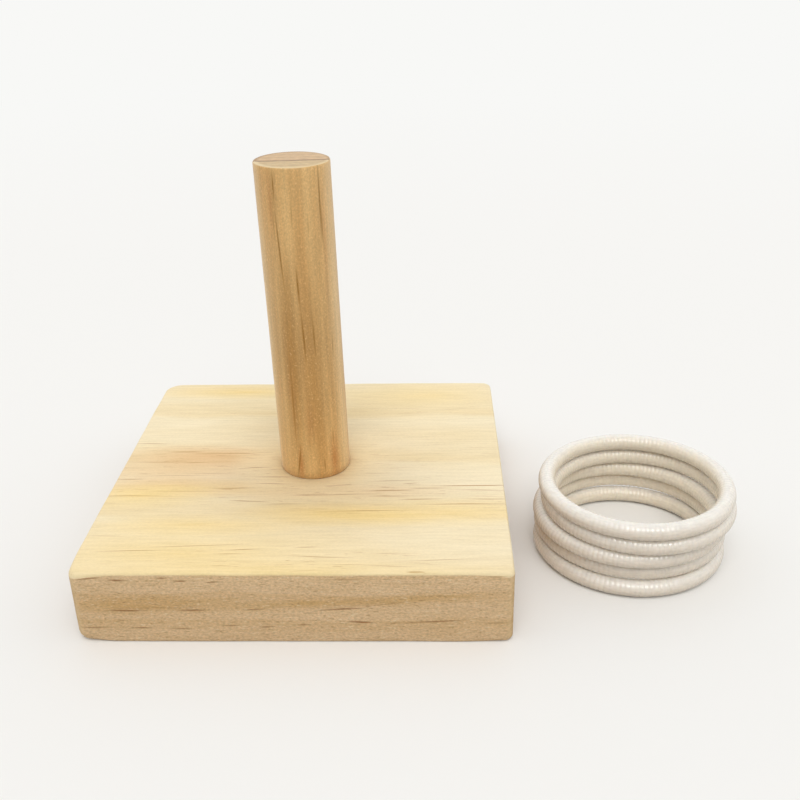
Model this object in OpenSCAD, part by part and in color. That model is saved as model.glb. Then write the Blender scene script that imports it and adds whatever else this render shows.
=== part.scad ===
// Ring toss toy: a square wooden board with one upright peg, and five equal
// rings in a loose stack beside it. Millimetres, +Z up. The origin is on the
// underside of the board, on the peg's axis, and everything stands on z = 0.

/* [Board] */
// Width of the board, left to right
board_w = 100; // [60:1:160]
// Depth of the board, front to back
board_d = 100; // [60:1:160]
// Thickness of the board
board_t = 19; // [12:0.5:30]
// Radius of the board's four upright corners
board_corner_r = 3; // [2.5:0.5:12]
// Rounding along the edges of the top and the underside
board_edge_r = 1.2; // [0.4:0.1:2]

/* [Peg] */
// Diameter of the peg
peg_d = 18; // [14:0.5:28]
// Height of the peg above the board
peg_h = 80; // [45:1:140]
// Chamfer round the peg's top
peg_rim = 0.4; // [0.1:0.1:1.5]

/* [Screw] */
// Diameter over the crests of the screw's thread
screw_thread_d = 4.2; // [3.6:0.1:5]
// Diameter of the screw's core, and of its plain shank
screw_core_d = 2.9; // [2.4:0.1:3.4]
// Distance from one thread to the next
screw_pitch = 1.8; // [1.2:0.1:2.4]
// Diameter of the countersunk head
screw_head_d = 8.4; // [7:0.1:10]
// Depth of the head's face inside the underside
screw_sunk = 0.5; // [0.2:0.1:1.5]
// Depth that the screw reaches into the peg
screw_bite = 18; // [12:1:30]
// Length of the screw's point
screw_point = 4; // [2:0.5:6]
// Length of each slot of the cross at the head's face
cross_l = 4.4; // [3:0.1:5.5]
// Width of each slot of the cross
cross_w = 1.1; // [0.6:0.1:1.6]
// Depth of the cross
cross_depth = 2; // [1:0.1:2.4]

/* [Rings] */
// Outside diameter of a ring
ring_od = 48.5; // [44:0.5:80]
// Diameter of a ring's round section
ring_section_d = 4.3; // [3:0.1:6]

/* [Stack of rings] */
// Distance from the board's right side to the rings
stack_gap = 8.5; // [2:0.5:60]
// Distance of the stack behind the peg's axis, less than 0 in front of it
stack_y = -11; // [-60:1:60]

/* [Clearances] */
// Gap round the screw's thread in the board
screw_clear = 0.2; // [0.1:0.05:0.4]
// Gap between the screw's head and its seat in the board
seat_clear = 0.05; // [0.02:0.01:0.1]
// Gap round the screw's core in the peg
pilot_clear = 0.05; // [0.05:0.05:0.2]
// Gap between each ring and the one under it
ring_clear = 0.05; // [0.02:0.01:0.3]

/* [Hidden] */
$fn = 96;
pine = "#efd9a8";
dowel = "#c99e6b";
zinc = "#b9bcc0";
ivory = "#e9e0d0";
// Cuts run this far past the faces they open
past = 1;

// How far each ring lies off the middle of the stack, [right, back], from the lowest up
ring_shifts = [[-0.2, 0.6], [-0.1, 1.8], [-0.7, -0.1], [1, -1], [0.2, -1.5]];
ring_r = (ring_od - ring_section_d) / 2;
ring_step = ring_section_d + ring_clear;
stack_x = board_w / 2 + stack_gap + ring_od / 2;

// The head is a right-angled cone, so it is as deep as it is wider than the shank, halved
screw_core_r = screw_core_d / 2;
screw_crest_r = screw_thread_d / 2;
screw_head_depth = (screw_head_d - screw_core_d) / 2;
screw_tip_z = board_t + screw_bite;
// The thread starts just below the peg's foot and ends where the point begins
screw_turns = floor((screw_bite - screw_point) / screw_pitch) + 1;
screw_thread_z = screw_tip_z - screw_point - screw_turns * screw_pitch;
board_hole_r = screw_crest_r + screw_clear;
board_sink_r = screw_head_d / 2 + seat_clear + screw_sunk;

// A block with upright round corners
module rounded_block(w, d, h, r) {
    linear_extrude(h) {
        square([w, d - 2 * r], center = true);
        square([w - 2 * r, d], center = true);
        for (x = [-1, 1], y = [-1, 1])
            translate([x * (w / 2 - r), y * (d / 2 - r)])
                circle(r = r);
    }
}

// A quarter of a disc
module quarter(r) {
    intersection() {
        circle(r = r);
        square(r);
    }
}

// The quarter round that runs along the upper edge of such a block, outside a block inset by edge_r
module quarter_rim(w, d, corner_r, edge_r) {
    side_w = w - 2 * corner_r;
    side_d = d - 2 * corner_r;
    for (turn = [0 : 3]) {
        across = turn % 2 == 0 ? w : d;
        along = turn % 2 == 0 ? side_d : side_w;
        rotate(90 * turn) {
            translate([across / 2 - edge_r, along / 2, 0])
                rotate([90, 0, 0])
                    linear_extrude(along)
                        quarter(edge_r);
            translate([across / 2 - corner_r, along / 2, 0])
                rotate_extrude(angle = 90)
                    translate([corner_r - edge_r, 0])
                        quarter(edge_r);
        }
    }
}

// The board, with all its edges rounded and a countersunk hole from beneath
module board() {
    inset = 2 * board_edge_r;
    color(pine)
        difference() {
            union() {
                translate([0, 0, board_edge_r])
                    rounded_block(board_w, board_d, board_t - inset, board_corner_r);
                rounded_block(board_w - inset, board_d - inset, board_t,
                              board_corner_r - board_edge_r);
                translate([0, 0, board_t - board_edge_r])
                    quarter_rim(board_w, board_d, board_corner_r, board_edge_r);
                translate([0, 0, board_edge_r])
                    mirror([0, 0, 1])
                        quarter_rim(board_w, board_d, board_corner_r, board_edge_r);
            }
            translate([0, 0, -past])
                cylinder(r = board_hole_r, h = board_t + 2 * past);
            translate([0, 0, -past])
                cylinder(r1 = board_sink_r + past, r2 = 0, h = board_sink_r + past);
        }
}

// The peg, cut square across the top and bored up its foot for the screw
module peg() {
    peg_r = peg_d / 2;
    pilot_r = screw_core_r + pilot_clear;
    pilot_h = screw_bite + pilot_clear;
    color(dowel)
        translate([0, 0, board_t])
            rotate_extrude()
                polygon([
                    [pilot_r, 0],
                    [peg_r, 0],
                    [peg_r, peg_h - peg_rim],
                    [peg_r - peg_rim, peg_h],
                    [0, peg_h],
                    [0, pilot_h],
                    [pilot_r, pilot_h - screw_point]
                ]);
}

// One slot of the cross, which narrows with its depth
module cross_slot() {
    rotate([90, 0, 0])
        linear_extrude(cross_w, center = true)
            polygon([
                [-cross_l / 2, -past],
                [cross_l / 2, -past],
                [cross_l / 2, 0],
                [cross_w / 2, cross_depth],
                [-cross_w / 2, cross_depth],
                [-cross_l / 2, 0]
            ]);
}

// The countersunk wood screw that holds the peg, with its thread drawn as one ridge a turn
module peg_screw() {
    ridge = [[screw_core_r, 0], [screw_crest_r, 0.35], [screw_crest_r, 0.45], [screw_core_r, 0.8]];
    thread = [for (i = [0 : screw_turns - 1], p = ridge)
        [p[0], screw_thread_z + (i + p[1]) * screw_pitch]];
    color(zinc)
        difference() {
            rotate_extrude()
                polygon(concat(
                    [[0, screw_sunk], [screw_head_d / 2, screw_sunk]],
                    [[screw_core_r, screw_sunk + screw_head_depth]],
                    thread,
                    [[screw_core_r, screw_tip_z - screw_point], [0, screw_tip_z]]
                ));
            translate([0, 0, screw_sunk])
                for (a = [0, 90])
                    rotate(a)
                        cross_slot();
        }
}

// One ring of round section, counted from the lowest in the stack
module ring(i) {
    shift = ring_shifts[i - 1];
    color(ivory)
        translate([stack_x + shift[0], stack_y + shift[1], ring_section_d / 2 + (i - 1) * ring_step])
            rotate_extrude()
                translate([ring_r, 0])
                    circle(d = ring_section_d);
}

board();
peg();
peg_screw();
for (i = [1 : 5])
    ring(i);
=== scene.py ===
"""The looks of the ring toss toy: a pine board with a dowel peg, and five ivory rings beside it.

Sizes are in millimetres up to the point where a mesh is made. They start from the frame's boxes.
"""

import math

import bmesh
import bpy
from mathutils import Matrix, Vector, noise


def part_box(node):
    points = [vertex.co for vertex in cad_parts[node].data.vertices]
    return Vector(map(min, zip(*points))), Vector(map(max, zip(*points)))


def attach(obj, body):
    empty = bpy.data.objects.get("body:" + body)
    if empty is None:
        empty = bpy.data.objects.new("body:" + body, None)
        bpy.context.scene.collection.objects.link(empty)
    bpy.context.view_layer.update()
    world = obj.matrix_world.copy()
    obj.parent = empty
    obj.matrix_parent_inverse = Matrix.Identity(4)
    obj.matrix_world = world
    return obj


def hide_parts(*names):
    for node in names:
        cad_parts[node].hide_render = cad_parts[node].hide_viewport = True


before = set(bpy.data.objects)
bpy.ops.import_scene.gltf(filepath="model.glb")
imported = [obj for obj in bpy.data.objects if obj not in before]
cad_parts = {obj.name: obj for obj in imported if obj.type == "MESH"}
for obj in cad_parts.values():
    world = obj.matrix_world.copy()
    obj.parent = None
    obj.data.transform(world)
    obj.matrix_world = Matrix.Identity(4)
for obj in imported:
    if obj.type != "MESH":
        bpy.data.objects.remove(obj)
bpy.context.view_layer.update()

MM = 0.001
FULL_TURN = 2 * math.pi


# ---------------------------------------------------------------- sizes, from the frame

def box_mm(node):
    """The lowest and highest corners of a CAD node, in mm."""
    return [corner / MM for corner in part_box(node)]


board_low, board_high = box_mm("board")
peg_low, peg_high = box_mm("peg")
screw_low, screw_high = box_mm("peg_screw")
ring_low, ring_high = box_mm("ring_1")
ring_middle_r = (ring_high.x - ring_low.x - ring_high.z + ring_low.z) / 2
# The rings are counted from the lowest up
RINGS = range(1, 6)
ring_corners = [corner for number in RINGS for corner in box_mm(f"ring_{number}")]
stack_middle = sum(ring_corners, Vector()) / len(ring_corners)

# The board's four upright corners, sanded by hand: which way they lie, how round they are in plan, and how
# much rounder the edges get there, above and below
CORNERS = [
    ((1, 1), 2.4, 0.5, 0.6), ((-1, 1), 4.6, 0.5, 0.7),
    ((-1, -1), 2.6, 1.3, 2.3), ((1, -1), 1.9, 0.7, 0.8),
]
# The board's edges away from the corners: their radius, how much of it the sanding varies, how far along
# them a corner's wear reaches, and how wavy the saw left the sides
EDGE_R = 0.6
EDGE_UNEVEN = 0.3
CORNER_REACH = 10
SIDE_WAVE = 0.03
# The countersunk hole under the board, and the pilot hole up the peg, which ends in the drill's cone
HOLE_R = 2.3
SEAT_GAP = 0.05
PILOT_R = 1.5
PILOT_DEPTH = 18
PILOT_CONE = 4
# The peg's arrises, and where its middle lies at its foot and at its top, off the screw's axis: it leans
# one degree to the left, and stands a millimetre to the right
PEG_RIM = 0.35
PEG_FOOT = 0.15
PEG_FOOT_OFF = Vector((1.1, 0))
PEG_TOP_OFF = Vector((-0.25, 0))
# How much the milling took off the peg: the same all round, in flats along it, and in finer waves
PEG_TAKEN = 0.035
PEG_FLATS = 0.03
PEG_WAVES = 0.012
# The rings: how many scallops go round one, how deep they are in each ring from the lowest up, and the
# ridge where the mould's halves met. The top ring is the most worn. Each ring is turned by the golden
# section of a turn against the one below, so that no two scallops line up.
RIPPLES = 121
RIPPLE_DEPTHS = (0.085, 0.11, 0.11, 0.11, 0.075)
PARTING_RIDGE = 0.035
RING_TURN = 0.618

# The board's growth rings: how far apart they are, how much they fall for each mm towards the front, and how
# high one of them meets the peg's axis
YEAR = 7
YEAR_FALL = 0.256
YEAR_START = 5.5
# The growth rings in the peg's end, and the dark one, which lies in front of the peg's axis
PEG_YEAR = 2.9
PEG_LINE = 1.25

# The light that the pale room gives from all round, and the softbox's on a surface that faces it: 1 is white
ROOM_LEVEL = 0.77
SOFTBOX_LEVEL = 0.37
SOFTBOX_PLACE = Vector((50, -500, 800))
SOFTBOX_SPREAD = 45
# The strip lamp: its watts, where it hangs, the rings that it is aimed at, and how wide and high it is
STRIP_POWER = 0.7
STRIP_PLACE = Vector((139, -408, 458))
STRIP_TARGET = Vector((83, -11, 12))
STRIP_SIZE = (220, 60)
# The camera: where it stands, its lens, and how far it looks to the left, down and askew, in degrees
CAMERA_PLACE = Vector((31.4, -230.6, 148.4))
CAMERA_LENS = 44.87
CAMERA_LEFT = 1.914
CAMERA_DOWN = 25.735
CAMERA_ASKEW = -1.181


# ---------------------------------------------------------------- materials

def linear(colour):
    """An sRGB hex colour as the linear values that shaders take."""
    parts = [int(colour[i:i + 2], 16) / 255 for i in (1, 3, 5)]
    return [p / 12.92 if p <= 0.04045 else ((p + 0.055) / 1.055) ** 2.4 for p in parts] + [1]


def add(tree, kind, inputs=None, **settings):
    """Adds a shader node and returns its outputs. Inputs are values, or outputs to link to."""
    made = tree.nodes.new("ShaderNode" + kind)
    for name, value in settings.items():
        setattr(made, name, value)
    for name, value in (inputs or {}).items():
        if isinstance(value, bpy.types.NodeSocket):
            tree.links.new(value, made.inputs[name])
        else:
            made.inputs[name].default_value = value
    return made.outputs


def new_material(name):
    """An empty material and its node tree."""
    material = bpy.data.materials.new(name)
    material.use_nodes = True
    material.node_tree.nodes.clear()
    return material, material.node_tree


def grain(tree, place, spacing, detail=2.0):
    """Soft random patches about as far apart as spacing says, in mm. From 0 to 1, mostly near a half."""
    scaled = add(tree, "VectorMath", {0: place, 1: spacing}, operation="DIVIDE")[0]
    return add(tree, "TexNoise", {"Vector": scaled, "Scale": 1.0, "Detail": detail})[0]


def marks(tree, place, listed):
    """How strongly each point of a face is marked, most so in a mark's middle. Each mark is listed as
    (across, up, length, width, lean, strength), in mm and degrees."""
    total = 0.0
    for across, up, length, width, lean, strength in listed:
        near = add(tree, "Mapping", {
            "Vector": place, "Location": (across, up, 0), "Rotation": (0, 0, math.radians(lean)),
            "Scale": (length / 2, width / 2, 1)}, vector_type="TEXTURE")[0]
        blob = add(tree, "TexGradient", {"Vector": near}, gradient_type="SPHERICAL")[1]
        total = add(tree, "Math", {0: blob, 1: strength, 2: total}, operation="MULTIPLY_ADD")[0]
    return total


def place_and_normal(tree):
    """A point's place, in mm, and its normal."""
    found = add(tree, "TexCoord")
    place = add(tree, "VectorMath", {0: found["Object"], "Scale": 1 / MM}, operation="SCALE")[0]
    return place, found["Normal"]


def drift(tree, place, spacing):
    """A random vector that changes softly from place to place. Its parts go from 0 to 1."""
    scaled = add(tree, "VectorMath", {0: place, 1: spacing}, operation="DIVIDE")[0]
    return add(tree, "TexNoise", {"Vector": scaled, "Scale": 1.0, "Detail": 1.0})[1]


def round_from_front(tree, place, radius):
    """How far a place lies round the Z axis from the front, in mm along a circle of this radius."""
    parts = add(tree, "SeparateXYZ", {0: place})
    ahead = add(tree, "Math", {0: parts["Y"], 1: -1.0}, operation="MULTIPLY")[0]
    angle = add(tree, "Math", {0: parts["X"], 1: ahead}, operation="ARCTAN2")[0]
    return add(tree, "Math", {0: angle, 1: radius}, operation="MULTIPLY")[0]


def late_wood(tree, years, start, full, end, blend):
    """How late in its year the wood grew: each growth ring darkens slowly and ends sharply."""
    year = add(tree, "Math", {0: years, 1: 1.0}, operation="FLOORED_MODULO")[0]
    late = add(tree, "MapRange", {"Value": year, "From Min": start, "From Max": full},
               interpolation_type=blend)[0]
    ending = add(tree, "MapRange", {"Value": year, "From Min": 1.0, "From Max": end},
                 interpolation_type=blend)[0]
    return add(tree, "Math", {0: late, 1: ending}, operation="MULTIPLY")[0]


def varied(tree, colour, pattern, darkest, brightest):
    """A colour that a random pattern makes darker and brighter."""
    value = add(tree, "MapRange", {"Value": pattern, "From Min": 0.3, "From Max": 0.7,
                                   "To Min": darkest, "To Max": brightest})[0]
    return add(tree, "HueSaturation", {"Color": colour, "Value": value})[0]


# Pitch streaks in the board's top: how far right and back of the peg they lie, length, width, lean, strength
TOP_STREAKS = [
    (-45, 10.7, 14, 0.5, -2, 1.1), (-35, 6, 13, 0.5, 0, 1.4), (-28, 5, 12, 0.4, 0, 1.0),
    (-21, 5, 14, 0.5, -1, 1.5), (-41, 0.6, 26, 0.4, 1, 1.1), (-31, 0.3, 9, 0.4, 0, 1.3),
    (-14, -2.5, 10, 0.4, 1, 1.1), (-26, -6, 21, 0.4, 0, 0.7), (-36, -7, 29, 0.4, 1, 0.8),
    (-47, -8.5, 12, 0.5, 0, 1.1), (-9, -7.5, 14, 0.5, 0, 1.1), (-18.5, -13, 13, 0.6, 3, 1.4),
    (-9, -10.8, 14, 0.4, -1, 1.0), (-43, -16.8, 22, 0.5, 0, 1.1), (-30, -14.5, 29, 0.4, 0, 0.7),
    (-13.5, -19.6, 13, 0.6, -5, 1.4), (-5, -21, 12, 0.5, 1, 1.1), (1, -16.6, 12, 0.5, 0, 1.3),
    (17, -6, 10, 0.4, 1, 0.6), (8, -12, 16, 0.4, 1, 0.8), (22, -10, 18, 0.5, 1, 1.0),
    (10.5, -16.5, 21, 0.5, 2, 1.0), (21, -14.8, 17, 0.6, 2, 1.5), (31, -13.7, 13, 0.5, 1, 1.4),
    (22, -17.5, 16, 0.5, 0, 1.1), (29, -19, 14, 0.5, 1, 1.3), (42, -12.4, 25, 0.6, 1, 1.7),
    (44, -14.6, 20, 0.5, 0, 1.0), (45, -17.6, 14, 0.4, 0, 0.7), (45, -19, 14, 0.5, 0, 1.1),
    (41, -21.3, 31, 0.5, 0, 1.4), (16, -24, 29, 0.5, 2, 1.1), (26, -11.5, 5, 0.4, 0, 1.1),
    (-37, -41, 23, 0.4, 3, 1.1), (-45, -35, 12, 0.4, 0, 0.7), (-22, -38.8, 31, 0.4, 3, 1.0),
    (-11.5, -40.6, 13, 0.4, 3, 1.1), (-14.5, -42.3, 10, 0.4, 0, 1.0), (3, -39.5, 8, 0.4, 2, 1.0),
    (6, -43.4, 20, 0.4, -3, 1.1), (22, -42.5, 13, 0.4, -2, 0.7), (34, -45, 26, 0.4, 2, 0.8),
    (22, -47, 16, 0.4, -3, 0.8), (28, -49.3, 5, 0.6, 0, 1.7),
]
# Where the top's late wood is full of fine brown threads
THREADED = [(-20, -4, 130, 34, 0, 1.5), (20, -15, 110, 18, 0, 1.3), (0, -44, 120, 14, 0, 0.9)]
# Broad tints in the top: pinkish clouds, yellow late wood, and a warm pale patch of painted light round the
# peg's foot, which offsets the peg's shade there
PINK_CLOUDS = [
    (-28, 4, 50, 14, -2, 0.7), (-34, -3, 84, 26, 0, 0.65), (-36, -13, 50, 12, 0, 0.7),
    (-6, -14, 44, 12, 0, 0.5), (18, -15, 50, 10, 0, 0.4),
]
YELLOW_BANDS = [
    (9, -26, 52, 12, -3, 1.2), (36, -25, 62, 14, 0, 0.8), (-42, -17, 44, 14, 0, 0.9),
    (-24, -30, 70, 10, 0, 0.7), (-25, 44, 70, 12, 0, 1.0), (30, 41, 60, 20, 0, 0.7),
    (-26, -42, 100, 30, 0, 0.8), (8, -50, 110, 12, 0, 0.5), (-30, -13, 60, 10, 0, 0.6),
]
# Painted light: a warm pale patch that offsets the peg's shade on the board round its foot
PAINTED_LIGHT_AT_FOOT = [(1, 0, 46, 46, 0, 1.9)]
# Pitch streaks and orange bands of late wood in the board's front: how far right and how high they lie
FRONT_STREAKS = [
    (-38.5, 17.1, 6, 0.7, 0, 1.3), (-28.5, 17.8, 3.5, 0.6, 0, 1.2), (-24.4, 17.0, 4, 0.7, 0, 1.3),
    (-17, 16.6, 5, 0.6, 4, 0.9), (-38, 8.9, 13, 0.7, 0, 1.2), (-22.5, 8.9, 10, 0.8, 0, 1.1),
    (-8.5, 9.1, 8, 0.6, 3, 0.9), (-45, 4.1, 11, 0.6, 0, 1.2), (-34.5, 4.0, 7, 0.6, 0, 1.1),
    (-25.5, 3.8, 8, 0.6, 0, 1.0), (-14, 4.7, 6, 0.6, 0, 0.9), (-6, 4.3, 5, 0.6, 3, 0.9),
    (11, 9.4, 15, 0.7, 4, 1.2), (15.7, 5.8, 9, 0.7, -3, 1.3), (31, 5.7, 22, 0.7, 2, 1.3),
    (46, 5.4, 9, 0.5, 0, 1.0), (12.5, 17.5, 10, 0.6, 0, 0.9), (2, 4.9, 7, 0.6, 4, 0.9),
    (-45, 17.5, 9, 0.6, 6, 1.1), (22, 11, 15, 0.5, 8, 0.7), (46, 18.2, 6, 0.5, 0, 1.2),
    (-30, 9.6, 30, 0.6, 1, 0.5),
]
FRONT_BANDS = [(-34, 10.4, 50, 6, 1, 1.3), (4, 10.8, 60, 4, 4, 0.9), (32, 12.2, 40, 4, 5, 0.5)]


def planed_colour(tree, across_top, on_top, blotch, late):
    """The planed faces run from cream to straw, with broad tints on the top and painted light round the peg's
    foot.
    """
    tone = add(tree, "Math", {0: blotch, 1: 0.9, 2: -0.22}, operation="MULTIPLY_ADD")[0]
    tone = add(tree, "Math", {0: late, 1: 0.4, 2: tone}, operation="MULTIPLY_ADD")[0]
    face = add(tree, "Mix", {0: tone, 6: linear("#f6e8c7"), 7: linear("#edd5a1")}, data_type="RGBA")[2]
    # The last tint is painted light round the peg's foot
    for listed, tint in ((PINK_CLOUDS, "#e9c594"), (YELLOW_BANDS, "#f5da9a"), (PAINTED_LIGHT_AT_FOOT, "#fdebc0")):
        share = add(tree, "Math", {0: marks(tree, across_top, listed), 1: on_top}, operation="MULTIPLY")[0]
        face = add(tree, "Mix", {0: share, 6: face, 7: linear(tint)}, data_type="RGBA")[2]
    return face


def sawn_colour(tree, across_front, front, end, late, speckle, raised):
    """The sawn sides are browner, with the late wood as orange bands, and are speckled by torn fibres and by
    pits, which are darkened partly in their own colour and partly as painted shade. The ends, where the
    fibres are cut across, are darker still."""
    band = add(tree, "Math", {0: marks(tree, across_front, FRONT_BANDS), 1: front}, operation="MULTIPLY")[0]
    band = add(tree, "Math", {0: late, 1: 0.35, 2: band}, operation="MULTIPLY_ADD")[0]
    side = add(tree, "Mix", {0: band, 6: linear("#e1c196"), 7: linear("#d2ac77")}, data_type="RGBA")[2]
    ends = add(tree, "Mix", {0: late, 6: linear("#cdab7c"), 7: linear("#b58a58")}, data_type="RGBA")[2]
    side = add(tree, "Mix", {0: end, 6: side, 7: ends}, data_type="RGBA")[2]
    side = varied(tree, side, speckle, 0.82, 1.16)
    torn = add(tree, "MapRange", {"Value": raised, "From Min": 0.62, "From Max": 0.74, "To Max": 0.7})[0]
    side = add(tree, "Mix", {0: torn, 6: side, 7: linear("#efd9b2")}, data_type="RGBA")[2]
    # The relief's low spots are darkened as pits: partly their own colour, partly painted shade
    pit_and_shade = add(tree, "MapRange", {"Value": raised, "From Min": 0.38, "From Max": 0.27, "To Max": 0.5})[0]
    return add(tree, "Mix", {0: pit_and_shade, 6: side, 7: linear("#a27c4d")}, data_type="RGBA")[2]


def planed_pine():
    """Radiata pine, planed and sanded on its two faces and left rougher on its sawn sides.

    The eye gets creamy wide growth rings with short brown pitch streaks, fine fibres along the board,
    and a tan, speckled, furry look on the sides.
    """
    material, tree = new_material("planed_pine")
    straight, normal = place_and_normal(tree)

    # Where the board is planed, where its front and its ends are, and its upright corners, whose rounding is
    # painted paler as painted light
    facing = add(tree, "VectorMath", {0: normal}, operation="ABSOLUTE")[0]
    facing = add(tree, "SeparateXYZ", {0: facing})
    normal = add(tree, "SeparateXYZ", {0: normal})
    front = add(tree, "MapRange", {"Value": normal["Y"], "From Min": -0.5, "From Max": -0.9})[0]
    planed_top = add(tree, "MapRange", {"Value": normal["Z"], "From Min": 0.06, "From Max": 0.22},
                     interpolation_type="SMOOTHSTEP")[0]
    planed = add(tree, "MapRange", {"Value": normal["Z"], "From Min": -0.8, "From Max": -0.95})[0]
    planed = add(tree, "Math", {0: planed, 1: planed_top}, operation="MAXIMUM")[0]
    painted_corner_light = add(tree, "Math", {0: facing["X"], 1: facing["Y"]}, operation="MULTIPLY")[0]
    painted_corner_light = add(tree, "MapRange", {"Value": painted_corner_light, "From Min": 0.1, "From Max": 0.45, "To Max": 0.5})[0]
    end = add(tree, "MapRange", {"Value": facing["X"], "From Min": 0.5, "From Max": 0.85},
              interpolation_type="SMOOTHSTEP")[0]
    upper = add(tree, "SeparateXYZ", {0: straight})["Z"]
    upper = add(tree, "Math", {0: upper, 1: board_high.z / 2}, operation="GREATER_THAN")[0]
    on_top = add(tree, "Math", {0: planed, 1: upper}, operation="MULTIPLY")[0]

    # The grain wavers by about half a millimetre over a few centimetres, and the growth rings by more
    waver = drift(tree, straight, (34, 11, 11))
    waver = add(tree, "VectorMath", {0: waver, 1: (0.5, 0.5, 0.5)}, operation="SUBTRACT")[0]
    in_tree = add(tree, "VectorMath", {0: waver, 1: (0, 5, 2.2), 2: straight}, operation="MULTIPLY_ADD")[0]
    place = add(tree, "VectorMath", {0: waver, 1: (0, 1.6, 1.2), 2: straight}, operation="MULTIPLY_ADD")[0]
    parts = add(tree, "SeparateXYZ", {0: place})
    across_top = add(tree, "VectorMath", {0: place, 1: (1, 1, 0)}, operation="MULTIPLY")[0]
    across_front = add(tree, "CombineXYZ", {"X": parts["X"], "Y": parts["Z"]})[0]
    slope = (0, -YEAR_FALL / YEAR, 1 / YEAR)
    years = add(tree, "VectorMath", {0: in_tree, 1: slope}, operation="DOT_PRODUCT")["Value"]
    years = add(tree, "Math", {0: years, 1: YEAR_START / YEAR}, operation="SUBTRACT")[0]
    late = late_wood(tree, years, 0.3, 0.92, 0.88, "SMOOTHSTEP")

    # Fibres are finer than a tenth of a millimetre; here they are drawn 0.8 mm apart, so that they show. The
    # smallest marks follow a finer waver, so that none of them runs dead straight.
    fibres = grain(tree, straight, (11, 0.8, 0.8), 4)
    wriggle = drift(tree, straight, (6, 3, 3))
    wriggling = add(tree, "VectorMath", {0: wriggle, 1: (0, 1.2, 1.2), 2: straight},
                    operation="MULTIPLY_ADD")[0]
    speckle = grain(tree, straight, (0.7, 0.5, 0.42), 3)
    blotch = grain(tree, place, (50, 13, 13), 1)
    raised = grain(tree, wriggling, (1.2, 0.45, 0.34), 1)

    # Fine pitch threads, thickest in the late wood
    threads = grain(tree, wriggling, (9, 0.42, 0.36), 2)
    threads = add(tree, "MapRange", {"Value": threads, "From Min": 0.6, "From Max": 0.78},
                  interpolation_type="SMOOTHSTEP")[0]
    dense = add(tree, "Math", {0: marks(tree, across_top, THREADED), 1: on_top}, operation="MULTIPLY")[0]
    dense = add(tree, "Math", {0: dense, 1: 0.4, 2: 0.14}, operation="MULTIPLY_ADD", use_clamp=True)[0]
    dense = add(tree, "Math", {0: late, 1: 0.2, 2: dense}, operation="MULTIPLY_ADD")[0]
    threads = add(tree, "Math", {0: threads, 1: dense}, operation="MULTIPLY")[0]

    # Larger pitch streaks, which the fibres make ragged
    top_marks = marks(tree, across_top, TOP_STREAKS)
    top_marks = add(tree, "Math", {0: top_marks, 1: on_top}, operation="MULTIPLY")[0]
    front_marks = marks(tree, across_front, FRONT_STREAKS)
    front_marks = add(tree, "Math", {0: front_marks, 1: front}, operation="MULTIPLY")[0]
    streaks = add(tree, "Math", {0: top_marks, 1: front_marks}, operation="ADD")[0]
    streaks = add(tree, "MapRange", {"Value": streaks, "From Min": 0.1, "From Max": 0.9})[0]
    ragged = add(tree, "MapRange", {"Value": fibres, "From Min": 0.3, "From Max": 0.6, "To Min": 0.4})[0]
    streaks = add(tree, "Math", {0: streaks, 1: ragged}, operation="MULTIPLY")[0]
    streaks = add(tree, "Math", {0: streaks, 1: threads}, operation="MAXIMUM")[0]
    streaks = add(tree, "Math", {0: streaks, 1: 0.85}, operation="MULTIPLY")[0]

    # The colour, which the fibres vary everywhere and the sanding's speckle on the faces
    face = planed_colour(tree, across_top, on_top, blotch, late)
    side = sawn_colour(tree, across_front, front, end, late, speckle, raised)
    # Painted light: the rounding of the upright corners is painted paler
    side = add(tree, "Mix", {0: painted_corner_light, 6: side, 7: linear("#e2c494")}, data_type="RGBA")[2]
    colour = add(tree, "Mix", {0: planed, 6: side, 7: face}, data_type="RGBA")[2]
    fine = add(tree, "MapRange", {"Value": fibres, "From Min": 0.3, "From Max": 0.7,
                                  "To Min": 0.955, "To Max": 1.04})[0]
    sanded = add(tree, "MapRange", {"Value": speckle, "From Min": 0.3, "From Max": 0.7,
                                    "To Min": -0.03, "To Max": 0.03})[0]
    fine = add(tree, "Math", {0: sanded, 1: planed, 2: fine}, operation="MULTIPLY_ADD")[0]
    warm = add(tree, "MapRange", {"Value": fibres, "From Min": 0.3, "From Max": 0.7,
                                  "To Min": 1.04, "To Max": 0.97})[0]
    colour = add(tree, "HueSaturation", {"Color": colour, "Saturation": warm, "Value": fine})[0]
    brown = add(tree, "Mix", {0: planed, 6: linear("#8e5c2a"), 7: linear("#ac7832")}, data_type="RGBA")[2]
    colour = add(tree, "Mix", {0: streaks, 6: colour, 7: brown}, data_type="RGBA")[2]

    # Relief in mm: about a hundredth on the sanded faces, a tenth where the saw tore the sides
    torn = add(tree, "MapRange", {"Value": planed, "To Min": 0.13, "To Max": 0.012})[0]
    height = add(tree, "Math", {0: speckle, 1: torn}, operation="MULTIPLY")[0]
    height = add(tree, "Math", {0: raised, 1: torn, 2: height}, operation="MULTIPLY_ADD")[0]
    height = add(tree, "Math", {0: fibres, 1: 0.03, 2: height}, operation="MULTIPLY_ADD")[0]
    height = add(tree, "Math", {0: streaks, 1: -0.02, 2: height}, operation="MULTIPLY_ADD")[0]
    bump = add(tree, "Bump", {"Height": height, "Distance": MM})[0]
    dull = add(tree, "MapRange", {"Value": fibres, "To Min": 0.5, "To Max": 0.75})[0]
    surface = add(tree, "BsdfPrincipled", {
        "Base Color": colour, "Roughness": dull, "Normal": bump, "IOR": 1.5, "Specular IOR Level": 0.25})
    add(tree, "OutputMaterial", {"Surface": surface[0]})
    return material
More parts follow.
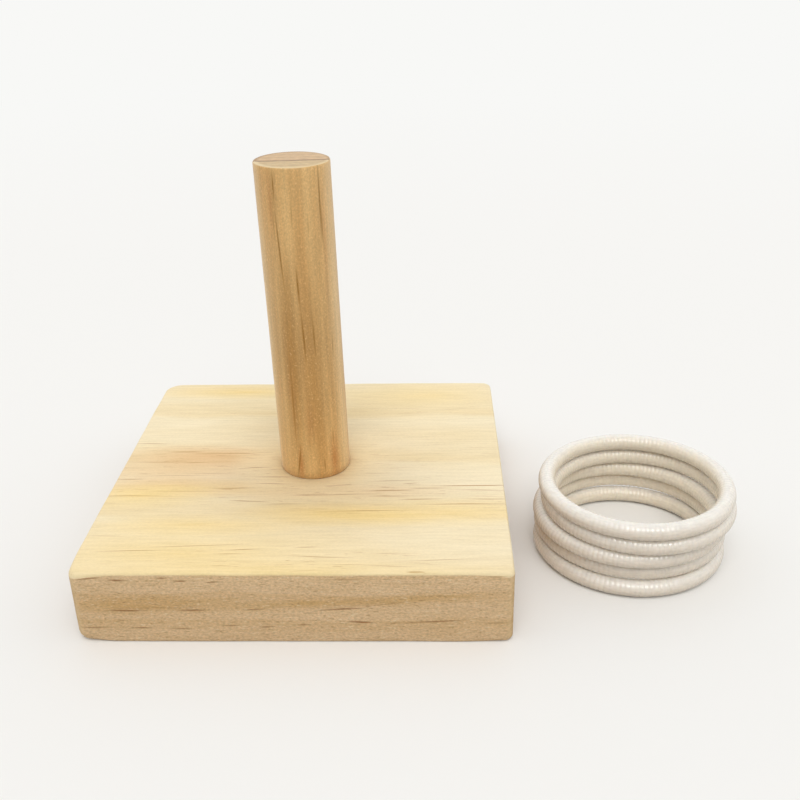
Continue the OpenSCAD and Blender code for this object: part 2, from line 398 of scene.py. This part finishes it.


# Marks on the peg: how far round from the front and how high above the board they lie, in mm. First the
# pitch streaks, then dark bands, pale bands of painted sheen down the peg's two flanks, and reddish bands.
PEG_STREAKS = [
    (-3.9, 76, 9, 0.5, 90, 1.2), (-3.3, 61, 26, 0.7, 93, 1.2), (7.2, 71, 24, 0.7, 90, 1.2),
    (7.6, 66, 14, 0.6, 90, 0.9), (0.3, 69.5, 10, 0.4, 90, 0.7), (0.65, 52, 13, 0.7, 91, 1.2),
    (1.1, 39, 17, 0.7, 92, 1.2), (3.6, 39, 14, 0.6, 92, 1.0), (-2.9, 21, 34, 0.8, 90, 0.9),
    (-2.2, 5, 12, 0.7, 81, 1.3), (4.3, 4, 6, 0.5, 90, 0.9), (7.1, 11.5, 8, 0.6, 90, 0.7),
    (8.6, 36, 10, 0.6, 88, 0.7), (3.7, 66.5, 8, 0.4, 90, 0.6), (-4.4, 66, 10, 0.5, 91, 0.7),
    (-15, 30, 28, 0.5, 90, 0.9), (-21, 58, 24, 0.5, 90, 0.9), (17, 50, 30, 0.4, 90, 0.7),
    (22, 22, 22, 0.5, 90, 0.9), (26, 62, 18, 0.5, 90, 0.9), (-26, 16, 20, 0.5, 90, 0.9),
]
DARK_BANDS = [
    (19, 40, 110, 9, 90, 1.2), (-22, 36, 90, 7, 90, 1.0), (-2.4, 31, 66, 6, 90, 1.3),
    (-4, 74, 18, 2.6, 90, 0.5), (3, 28, 64, 6, 90, 0.7),
]
# Painted sheen: pale bands down both flanks of the peg, where its side turns away
PAINTED_SHEEN_BANDS = [(-11.5, 40, 110, 8, 90, 1.2), (11, 44, 130, 7, 90, 1.0), (11, 8, 40, 6, 90, 0.5)]
RED_BANDS = [
    (-5.0, 72, 24, 1.8, 90, 0.56), (8.2, 60, 44, 1.6, 90, 0.32), (-3.0, 22, 34, 2, 90, 0.32),
    (7.2, 5, 18, 3.4, 90, 1.04), (-1.8, 4, 14, 2.6, 90, 0.96), (1.5, 16, 16, 4, 90, 0.4),
]
# Painted shade: the peg's front is painted a little darker than its back, most of all low down
PAINTED_FRONT_SHADE = [(0, 34, 64, 120, 90, 0.2)]


def dowel_end(tree, straight, place):
    """The end grain on the peg's top: growth rings across it, one of them a dark line a little in front of
    the middle, and a rim that is pale in front and brown behind."""
    growth = add(tree, "VectorMath", {0: place, 1: (0.05, -1, 0)}, operation="DOT_PRODUCT")["Value"]
    growth = add(tree, "Math", {0: growth, 1: PEG_LINE}, operation="SUBTRACT")[0]
    behind = add(tree, "MapRange", {"Value": growth, "From Min": 0.25, "From Max": -0.1})[0]
    end = add(tree, "Mix", {0: behind, 6: linear("#d2b683"), 7: linear("#d4b182")}, data_type="RGBA")[2]
    end = varied(tree, end, grain(tree, straight, (1.7, 0.9, 9), 3), 0.84, 1.14)
    years = add(tree, "Math", {0: growth, 1: PEG_YEAR}, operation="DIVIDE")[0]
    late = late_wood(tree, years, 0.35, 0.9, 0.93, "LINEAR")
    late = add(tree, "Math", {0: late, 1: 0.4}, operation="MULTIPLY")[0]
    end = add(tree, "Mix", {0: late, 6: end, 7: linear("#b88d5c")}, data_type="RGBA")[2]
    line = add(tree, "Math", {0: growth}, operation="ABSOLUTE")[0]
    line = add(tree, "MapRange", {"Value": line, "From Min": 0.65, "From Max": 0.25, "To Max": 0.9})[0]
    end = add(tree, "Mix", {0: line, 6: end, 7: linear("#855d38")}, data_type="RGBA")[2]
    outward = add(tree, "VectorMath", {0: straight, 1: (1, 1, 0)}, operation="MULTIPLY")[0]
    outward = add(tree, "VectorMath", {0: outward}, operation="LENGTH")["Value"]
    rim = add(tree, "MapRange", {"Value": outward, "From Min": 7.7, "From Max": 8.6, "To Max": 0.8})[0]
    rim_tint = add(tree, "Mix", {0: behind, 6: linear("#ecd5a8"), 7: linear("#a27b4d")}, data_type="RGBA")[2]
    return add(tree, "Mix", {0: rim, 6: end, 7: rim_tint}, data_type="RGBA")[2]


def turned_dowel():
    """Pine dowel, milled round and lightly sanded, and sawn square across its top.

    The eye gets tan wood with straight lines along it, soft reddish bands, pale yellow bands of painted sheen
    down its flanks, a front painted a little darker as shade, a fine speckle from the cutter, and end grain
    on top that one growth line crosses.
    """
    material, tree = new_material("turned_pine_dowel")
    straight, normal = place_and_normal(tree)
    straight = add(tree, "VectorMath", {0: straight, 1: (0, 0, peg_low.z)}, operation="SUBTRACT")[0]
    upward = add(tree, "SeparateXYZ", {0: normal})["Z"]
    sawn = add(tree, "MapRange", {"Value": upward, "From Min": 0.6, "From Max": 0.85})[0]

    # Places on the round side: round from the front, and up, in mm
    waver = drift(tree, straight, (5, 5, 40))
    waver = add(tree, "VectorMath", {0: waver, 1: (0.5, 0.5, 0.5)}, operation="SUBTRACT")[0]
    place = add(tree, "VectorMath", {0: waver, 1: (0.9, 0.9, 0), 2: straight}, operation="MULTIPLY_ADD")[0]
    round_side = round_from_front(tree, place, peg_high.x)
    up_side = add(tree, "SeparateXYZ", {0: place})["Z"]
    unrolled = add(tree, "CombineXYZ", {"X": round_side, "Y": up_side})[0]

    # Pitch streaks, made ragged by the cutter's speckle, and fine pitch threads between them
    fibres = grain(tree, straight, (0.7, 0.7, 16), 4)
    speckle = grain(tree, straight, (0.36, 0.36, 0.5), 2)
    threads = grain(tree, place, (0.5, 0.5, 8), 2)
    threads = add(tree, "MapRange", {"Value": threads, "From Min": 0.68, "From Max": 0.8, "To Max": 0.35},
                  interpolation_type="SMOOTHSTEP")[0]
    streaks = marks(tree, unrolled, PEG_STREAKS)
    streaks = add(tree, "MapRange", {"Value": streaks, "From Min": 0.1, "From Max": 0.9})[0]
    ragged = add(tree, "MapRange", {"Value": speckle, "From Min": 0.3, "From Max": 0.55, "To Min": 0.5})[0]
    streaks = add(tree, "Math", {0: streaks, 1: ragged}, operation="MULTIPLY")[0]
    streaks = add(tree, "Math", {0: streaks, 1: threads}, operation="MAXIMUM")[0]
    streaks = add(tree, "Math", {0: streaks, 1: 0.85}, operation="MULTIPLY")[0]

    # The side's colour: bands, then fibres and speckle, then light chips that the cutter raised
    tone = add(tree, "MapRange", {"Value": grain(tree, place, (3.2, 3.2, 60), 2),
                                  "From Min": 0.3, "From Max": 0.7})[0]
    side = add(tree, "Mix", {0: tone, 6: linear("#d7b278"), 7: linear("#c99d61")}, data_type="RGBA")[2]
    # Painted shade: the front of the peg's side is darkened, the rest lifted
    front_shade_value = add(tree, "Math", {0: 1.17, 1: marks(tree, unrolled, PAINTED_FRONT_SHADE)}, operation="SUBTRACT")[0]
    side = add(tree, "HueSaturation", {"Color": side, "Value": front_shade_value})[0]
    # The pale bands are painted sheen down the peg's flanks
    for listed, tint in ((DARK_BANDS, "#b98c4e"), (PAINTED_SHEEN_BANDS, "#ecca92"), (RED_BANDS, "#c58a4c")):
        share = marks(tree, unrolled, listed)
        side = add(tree, "Mix", {0: share, 6: side, 7: linear(tint)}, data_type="RGBA")[2]
    side = varied(tree, side, fibres, 0.9, 1.07)
    side = varied(tree, side, speckle, 0.88, 1.12)
    chips = grain(tree, straight, (0.36, 0.36, 0.5), 1)
    chips = add(tree, "MapRange", {"Value": chips, "From Min": 0.66, "From Max": 0.76, "To Max": 0.4})[0]
    side = add(tree, "Mix", {0: chips, 6: side, 7: linear("#f0d3a0")}, data_type="RGBA")[2]
    side = add(tree, "Mix", {0: streaks, 6: side, 7: linear("#94650f")}, data_type="RGBA")[2]
    end = dowel_end(tree, straight, place)
    colour = add(tree, "Mix", {0: sawn, 6: side, 7: end}, data_type="RGBA")[2]

    # Relief in mm: the cutter's speckle, the fibres, and the streaks a little sunk
    height = add(tree, "Math", {0: speckle, 1: 0.045}, operation="MULTIPLY")[0]
    height = add(tree, "Math", {0: fibres, 1: 0.03, 2: height}, operation="MULTIPLY_ADD")[0]
    height = add(tree, "Math", {0: streaks, 1: -0.03, 2: height}, operation="MULTIPLY_ADD")[0]
    bump = add(tree, "Bump", {"Height": height, "Distance": MM})[0]
    dull = add(tree, "MapRange", {"Value": fibres, "To Min": 0.4, "To Max": 0.6})[0]
    surface = add(tree, "BsdfPrincipled", {
        "Base Color": colour, "Roughness": dull, "Normal": bump, "IOR": 1.5, "Specular IOR Level": 0.35,
        "Sheen Weight": 0.18, "Sheen Roughness": 0.5})
    add(tree, "OutputMaterial", {"Surface": surface[0]})
    return material


def moulded_ivory():
    """Ivory polypropylene, moulded with a glossy skin.

    The eye gets a creamy white that glows a little in its folds, painted whiter where it faces up and
    yellower inside as painted light and shade, fine lines round the ring, and soft small highlights.
    """
    material, tree = new_material("moulded_ivory_polypropylene")
    place, normal = place_and_normal(tree)
    flow = grain(tree, place, (9, 9, 4), 2)
    skin = grain(tree, place, (0.5, 0.5, 0.5), 2)
    # Painted light: faces that look up are painted whiter
    upward = add(tree, "SeparateXYZ", {0: normal})["Z"]
    upper = add(tree, "MapRange", {"Value": upward, "From Min": 0.1, "From Max": 0.95})[0]
    colour = add(tree, "Mix", {0: flow, 6: linear("#efe4d5"), 7: linear("#eadecc")}, data_type="RGBA")[2]
    colour = add(tree, "Mix", {0: upper, 6: colour, 7: linear("#f2ede4")}, data_type="RGBA")[2]

    # The insides, where the rings face each other, are painted yellower: painted shade and warm light bounced
    # between them
    out = add(tree, "VectorMath", {0: place, 1: (stack_middle.x, stack_middle.y, 0)}, operation="SUBTRACT")[0]
    out = add(tree, "VectorMath", {0: out, 1: (1, 1, 0)}, operation="MULTIPLY")[0]
    outward = add(tree, "VectorMath", {0: out}, operation="NORMALIZE")[0]
    outward = add(tree, "VectorMath", {0: outward, 1: normal}, operation="DOT_PRODUCT")["Value"]
    # Painted shade on the walls that face the stack's middle
    inside = add(tree, "MapRange", {"Value": outward, "From Min": -0.2, "From Max": -0.9})[0]
    colour = add(tree, "Mix", {0: inside, 6: colour, 7: linear("#f2e7d3")}, data_type="RGBA")[2]

    # Fine lines from the polishing of the mould run round the ring. On a real ring they are some 0.2 mm
    # apart; here they are drawn 0.5 mm apart, so that they show
    arc = round_from_front(tree, out, ring_middle_r)
    level = add(tree, "SeparateXYZ", {0: place})["Z"]
    reach = add(tree, "VectorMath", {0: out}, operation="LENGTH")["Value"]
    drawn = add(tree, "CombineXYZ", {0: arc, 1: level, 2: reach})[0]
    colour = varied(tree, colour, grain(tree, drawn, (2.2, 0.5, 0.5), 1), 0.93, 1.05)

    # The skin's gloss, and its relief of a few thousandths of a millimetre
    gloss = add(tree, "MapRange", {"Value": skin, "To Min": 0.12, "To Max": 0.24})[0]
    bump = add(tree, "Bump", {"Height": skin, "Distance": 0.006 * MM})[0]
    surface = add(tree, "BsdfPrincipled", {
        "Base Color": colour, "Roughness": gloss, "Normal": bump, "IOR": 1.49, "Specular IOR Level": 0.6,
        "Subsurface Weight": 0.12, "Subsurface Radius": (1.0, 0.75, 0.5), "Subsurface Scale": 0.8 * MM})
    add(tree, "OutputMaterial", {"Surface": surface[0]})
    return material


def zinc_plate():
    """Zinc plate on a steel screw: bright and faintly mottled."""
    material, tree = new_material("zinc_plated_steel")
    place = place_and_normal(tree)[0]
    mottle = grain(tree, place, (0.8, 0.8, 0.8), 3)
    colour = add(tree, "Mix", {0: mottle, 6: linear("#b9bcbf"), 7: linear("#d3d3d0")}, data_type="RGBA")[2]
    dull = add(tree, "MapRange", {"Value": mottle, "To Min": 0.22, "To Max": 0.45})[0]
    bump = add(tree, "Bump", {"Height": mottle, "Distance": 0.01 * MM})[0]
    surface = add(tree, "BsdfPrincipled", {
        "Base Color": colour, "Metallic": 1.0, "Roughness": dull, "Normal": bump})
    add(tree, "OutputMaterial", {"Surface": surface[0]})
    return material


# ---------------------------------------------------------------- pieces

def put_in_scene(name, data):
    """A new object in the scene."""
    made = bpy.data.objects.new(name, data)
    bpy.context.scene.collection.objects.link(made)
    return made


def put_mesh_in_scene(name, mesh, material):
    """A new object made of a bmesh, which is freed."""
    data = bpy.data.meshes.new(name)
    mesh.to_mesh(data)
    mesh.free()
    data.materials.append(material)
    return put_in_scene(name, data)


def finish_piece(mesh, name, material, node, body):
    """Turns a bmesh in mm into a smooth piece that stands for a CAD node and rides on its body."""
    bmesh.ops.recalc_face_normals(mesh, faces=mesh.faces)
    bmesh.ops.scale(mesh, vec=(MM, MM, MM), verts=mesh.verts)
    for face in mesh.faces:
        face.smooth = True
    piece = put_mesh_in_scene(name, mesh, material)
    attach(piece, body)
    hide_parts(node)


def skin_between(mesh, loops, closed=False):
    """Joins each closed loop of vertices to the next with quads."""
    following = loops[1:] + (loops[:1] if closed else [])
    for low, high in zip(loops, following):
        count = len(low)
        for i in range(count):
            j = (i + 1) % count
            mesh.faces.new((low[i], low[j], high[j], high[i]))


def plate_with_hole(mesh, outer, inner):
    """Fills the flat space between an outline and the hole in it."""
    edges = []
    for loop in (outer, inner):
        for a, b in zip(loop, loop[1:] + loop[:1]):
            edges.append(mesh.edges.get((a, b)) or mesh.edges.new((a, b)))
    bmesh.ops.triangle_fill(mesh, edges=edges, use_beauty=True)


def circle_points(radius, z, count):
    """Points round the peg's axis."""
    return [Vector((radius * math.cos(a), radius * math.sin(a), z))
            for a in (FULL_TURN * i / count for i in range(count))]


def board_outline():
    """The board's outline: each point's corner centre, corner radius and way outwards. Corners are arcs, and
    the sides go in short steps of some two millimetres."""
    steps, turns = 44, 8
    half = Vector((board_high.x, board_high.y))
    centres = [Vector(((half.x - r) * sign[0], (half.y - r) * sign[1])) for sign, r, above, below in CORNERS]
    outline = []
    for corner, (sign, r, above, below) in enumerate(CORNERS):
        for i in range(turns + 1):
            angle = math.pi / 2 * (corner + i / turns)
            outline.append((centres[corner], r, Vector((math.cos(angle), math.sin(angle)))))
        outward = outline[-1][2]
        following = (corner + 1) % 4
        start = centres[corner] + outward * r
        end = centres[following] + outward * CORNERS[following][1]
        for i in range(1, steps):
            share = i / steps
            own_r = r + (CORNERS[following][1] - r) * share
            outline.append((start.lerp(end, share) - outward * own_r, own_r, outward))
    return outline


def board_piece(material):
    """The board, its edges eased unevenly by hand and its sides a little wavy, with the screw's hole."""
    mesh = bmesh.new()
    outline = board_outline()
    low, high = board_low.z, board_high.z

    def edge_loop(upper, turn, height=None):
        """One loop round the board where the edge has turned so far, from 0 on the side to 90 on the face.
        With a height it lies on the side itself."""
        points = []
        for centre, corner_r, outward in outline:
            edge = centre + outward * corner_r
            face_z = high if upper else low
            ease = EDGE_R * (1 + EDGE_UNEVEN * noise.noise(Vector((edge.x / 9, edge.y / 9, face_z))))
            for sign, r, above, below in CORNERS:
                away = (edge - Vector((sign[0] * board_high.x, sign[1] * board_high.y))).length
                ease += (above if upper else below) * max(0.0, 1 - away / CORNER_REACH) ** 1.5
            inset = min(ease, corner_r - 0.4) * (1 - math.cos(math.radians(turn)))
            drop = ease * (1 - math.sin(math.radians(turn)))
            z = face_z - drop if upper else face_z + drop
            if height is not None:
                z = height
            wave = SIDE_WAVE * (1 + noise.noise(Vector((edge.x / 16, edge.y / 16, z / 5))))
            place = centre + outward * (corner_r - inset - wave)
            points.append(mesh.verts.new((place.x, place.y, z)))
        return points

    def flat_loop(z):
        """The loop where a flat face starts, just inside the eased edge."""
        return [mesh.verts.new((e.x * 0.94, e.y * 0.94, z)) for e in (c + o * r for c, r, o in outline)]

    loops = [flat_loop(low)] + [edge_loop(False, turn) for turn in (90, 67, 45, 22, 0)]
    loops += [edge_loop(True, 0, low + (high - low) * share) for share in (0.25, 0.38, 0.5, 0.62, 0.75)]
    loops += [edge_loop(True, turn) for turn in (0, 22, 45, 67, 90)] + [flat_loop(high)]
    skin_between(mesh, loops)

    sink_r = screw_high.x + screw_low.z + SEAT_GAP
    hole = [(sink_r, low), (HOLE_R, low + sink_r - HOLE_R), (HOLE_R, high)]
    hole = [[mesh.verts.new(p) for p in circle_points(r, z, 64)] for r, z in hole]
    skin_between(mesh, hole)
    plate_with_hole(mesh, loops[0], hole[0])
    plate_with_hole(mesh, loops[-1], hole[-1])
    finish_piece(mesh, "pine_board", material, "board", "base")


def peg_piece(material):
    """The peg, milled not quite round, sawn square across its top and bored up its foot for the screw."""
    mesh = bmesh.new()
    count = 144
    radius, foot, top = peg_high.x, peg_low.z, peg_high.z
    heights = [foot + PEG_FOOT + (top - foot - PEG_FOOT - PEG_RIM) * i / 40 for i in range(41)]
    profile = [(radius - PEG_FOOT, foot)] + [(radius, z) for z in heights]
    profile += [(radius - 0.3 * PEG_RIM, top - 0.3 * PEG_RIM), (radius - PEG_RIM, top), (radius - 1, top)]
    profile += [(radius * share, top) for share in (0.6, 0.3, 0.02)]
    cone = foot + PILOT_DEPTH - PILOT_CONE
    bore = [(0.02 * radius, foot + PILOT_DEPTH), (PILOT_R, cone), (PILOT_R, foot)]
    loops = []
    for r, z in profile:
        loop = []
        for point in circle_points(1, 0, count):
            flats = noise.noise(Vector((point.x * 2.2, point.y * 2.2, z / 24)))
            fine = noise.noise(Vector((point.x * 7, point.y * 7, z / 9)))
            shrink = 1 - (PEG_TAKEN + PEG_FLATS * flats + PEG_WAVES * fine) / radius
            off = PEG_FOOT_OFF.lerp(PEG_TOP_OFF, (z - foot) / (top - foot))
            loop.append(mesh.verts.new((off.x + point.x * r * shrink, off.y + point.y * r * shrink, z)))
        loops.append(loop)
    loops += [[mesh.verts.new(p) for p in circle_points(r, z, count)] for r, z in bore]
    skin_between(mesh, loops[:len(profile)])
    mesh.faces.new(loops[len(profile) - 1])
    skin_between(mesh, loops[len(profile):])
    mesh.faces.new(loops[len(profile)])
    skin_between(mesh, [loops[-1], loops[0]])
    finish_piece(mesh, "dowel_peg", material, "peg", "base")


def ring_piece(number, material):
    """One ring, scalloped like a string of fine beads, with a faint parting ridge inside and out."""
    node = f"ring_{number}"
    low, high = box_mm(node)
    centre = (low + high) / 2
    section_r = (high.z - low.z) / 2
    middle_r = (high.x - low.x) / 2 - section_r
    # Nine steps along each scallop, and a step for each 10 degrees round the section
    steps, around = RIPPLES * 9, 36
    turned = FULL_TURN * number * RING_TURN
    mesh = bmesh.new()
    loops = []
    for i in range(steps):
        angle = FULL_TURN * i / steps
        worn = 0.9 + 0.25 * noise.noise(Vector((3 * math.cos(angle), 3 * math.sin(angle), 7.3 * number)))
        ripple = RIPPLE_DEPTHS[number - 1] * worn * (1 - abs(math.sin(RIPPLES * angle / 2)))
        loop = []
        for k in range(around):
            turn = FULL_TURN * k / around
            seam = PARTING_RIDGE if k % (around // 2) == 0 else 0.0
            r = section_r - PARTING_RIDGE - ripple + seam
            out = middle_r + r * math.cos(turn)
            heading = angle + turned
            loop.append(mesh.verts.new((centre.x + out * math.cos(heading),
                                        centre.y + out * math.sin(heading),
                                        centre.z + r * math.sin(turn))))
        loops.append(loop)
    skin_between(mesh, loops, closed=True)
    finish_piece(mesh, f"ivory_ring_{number}", material, node, node)


board_piece(planed_pine())
peg_piece(turned_dowel())
ivory = moulded_ivory()
for ring_number in RINGS:
    ring_piece(ring_number, ivory)

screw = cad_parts["peg_screw"]
screw.data.materials.clear()
screw.data.materials.append(zinc_plate())


# ---------------------------------------------------------------- floor, light and camera

def seen_itself(tree):
    """1 where a thing is looked at, straight or in a reflection, and 0 where it only throws light."""
    path = add(tree, "LightPath")
    seen = add(tree, "Math", {0: path["Is Camera Ray"], 1: path["Is Glossy Ray"]}, operation="MAXIMUM")[0]
    return add(tree, "Math", {0: seen, 1: path["Is Transmission Ray"]}, operation="MAXIMUM")[0]


def white_table():
    """A wide white table. It throws less light back at the toy than it shows, and far from the toy it fades
    to the backdrop's plain white."""
    material, tree = new_material("white_table")
    place = add(tree, "TexCoord")["Object"]
    far = add(tree, "VectorMath", {0: place}, operation="LENGTH")["Value"]
    far = add(tree, "MapRange", {"Value": far, "From Min": 0.15, "From Max": 0.8},
              interpolation_type="SMOOTHSTEP")[0]
    seen = seen_itself(tree)
    far = add(tree, "Math", {0: far, 1: seen}, operation="MULTIPLY")[0]
    level = add(tree, "Mix", {0: seen, 6: linear("#d2d0cc"), 7: linear("#f2f1ee")}, data_type="RGBA")[2]
    white = add(tree, "BsdfDiffuse", {"Color": level, "Roughness": 0.0})[0]
    backdrop = add(tree, "Emission", {"Color": linear("#f8f8f6"), "Strength": 1.0})[0]
    mixed = add(tree, "MixShader", {0: far, 1: white, 2: backdrop})[0]
    add(tree, "OutputMaterial", {"Surface": mixed})
    return material


def stage_floor():
    """The table that the toy stands on, a disc with a radius of six metres."""
    mesh = bmesh.new()
    bmesh.ops.create_circle(mesh, cap_ends=True, segments=64, radius=6.0)
    put_mesh_in_scene("table", mesh, white_table())


def lamp(kind, name, place, energy, target=Vector((0, 0, 0))):
    """One studio lamp, aimed at a target. Both places are in mm."""
    data = bpy.data.lights.new(name, kind)
    data.energy = energy
    made = put_in_scene(name, data)
    made.location = place * MM
    made.rotation_mode = "QUATERNION"
    made.rotation_quaternion = (place - target).to_track_quat("Z", "Y")
    return made


def studio_light():
    """A pale room that is dark low down in front, a wide softbox above the front, and a strip lamp that lies
    high up in front, a little to the right, and only glints on what is glossy."""
    world = bpy.data.worlds.new("studio")
    bpy.context.scene.world = world
    world.use_nodes = True
    tree = world.node_tree
    tree.nodes.clear()
    direction = add(tree, "SeparateXYZ", {0: add(tree, "TexCoord")["Generated"]})
    front = add(tree, "MapRange", {"Value": direction["Y"], "From Min": 0.0, "From Max": -0.6},
                interpolation_type="SMOOTHSTEP")[0]
    low = add(tree, "MapRange", {"Value": direction["Z"], "From Min": 0.5, "From Max": 0.2},
              interpolation_type="SMOOTHSTEP")[0]
    dark = add(tree, "Math", {0: front, 1: low}, operation="MULTIPLY")[0]
    level = add(tree, "MapRange", {"Value": dark, "To Min": ROOM_LEVEL, "To Max": 0.0})[0]
    seen = seen_itself(tree)
    lit = add(tree, "Background", {"Color": linear("#ffffff"), "Strength": level})[0]
    backdrop = add(tree, "Background", {"Color": linear("#f8f8f6"), "Strength": 1.0})[0]
    mixed = add(tree, "MixShader", {0: seen, 1: lit, 2: backdrop})[0]
    add(tree, "OutputWorld", {"Surface": mixed})
    softbox = lamp("SUN", "front_softbox", SOFTBOX_PLACE, SOFTBOX_LEVEL * math.pi)
    softbox.data.angle = math.radians(SOFTBOX_SPREAD)
    strip = lamp("AREA", "strip_lamp", STRIP_PLACE, STRIP_POWER, STRIP_TARGET)
    strip.data.shape = "RECTANGLE"
    strip.data.size = STRIP_SIZE[0] * MM
    strip.data.size_y = STRIP_SIZE[1] * MM
    strip.visible_diffuse = False


def stage_camera():
    """The camera looks down at the toy from the front, a little to the right."""
    data = bpy.data.cameras.new("camera")
    data.lens = CAMERA_LENS
    data.sensor_width = 36
    camera = put_in_scene("camera", data)
    place = Matrix.Translation(CAMERA_PLACE * MM)
    turn = Matrix.Rotation(math.radians(CAMERA_LEFT), 4, "Z")
    tilt = Matrix.Rotation(math.radians(90 - CAMERA_DOWN), 4, "X")
    roll = Matrix.Rotation(math.radians(CAMERA_ASKEW), 4, "Z")
    camera.matrix_world = place @ turn @ tilt @ roll
    bpy.context.scene.camera = camera


stage_floor()
studio_light()
stage_camera()
bpy.context.scene.view_settings.view_transform = "Standard"
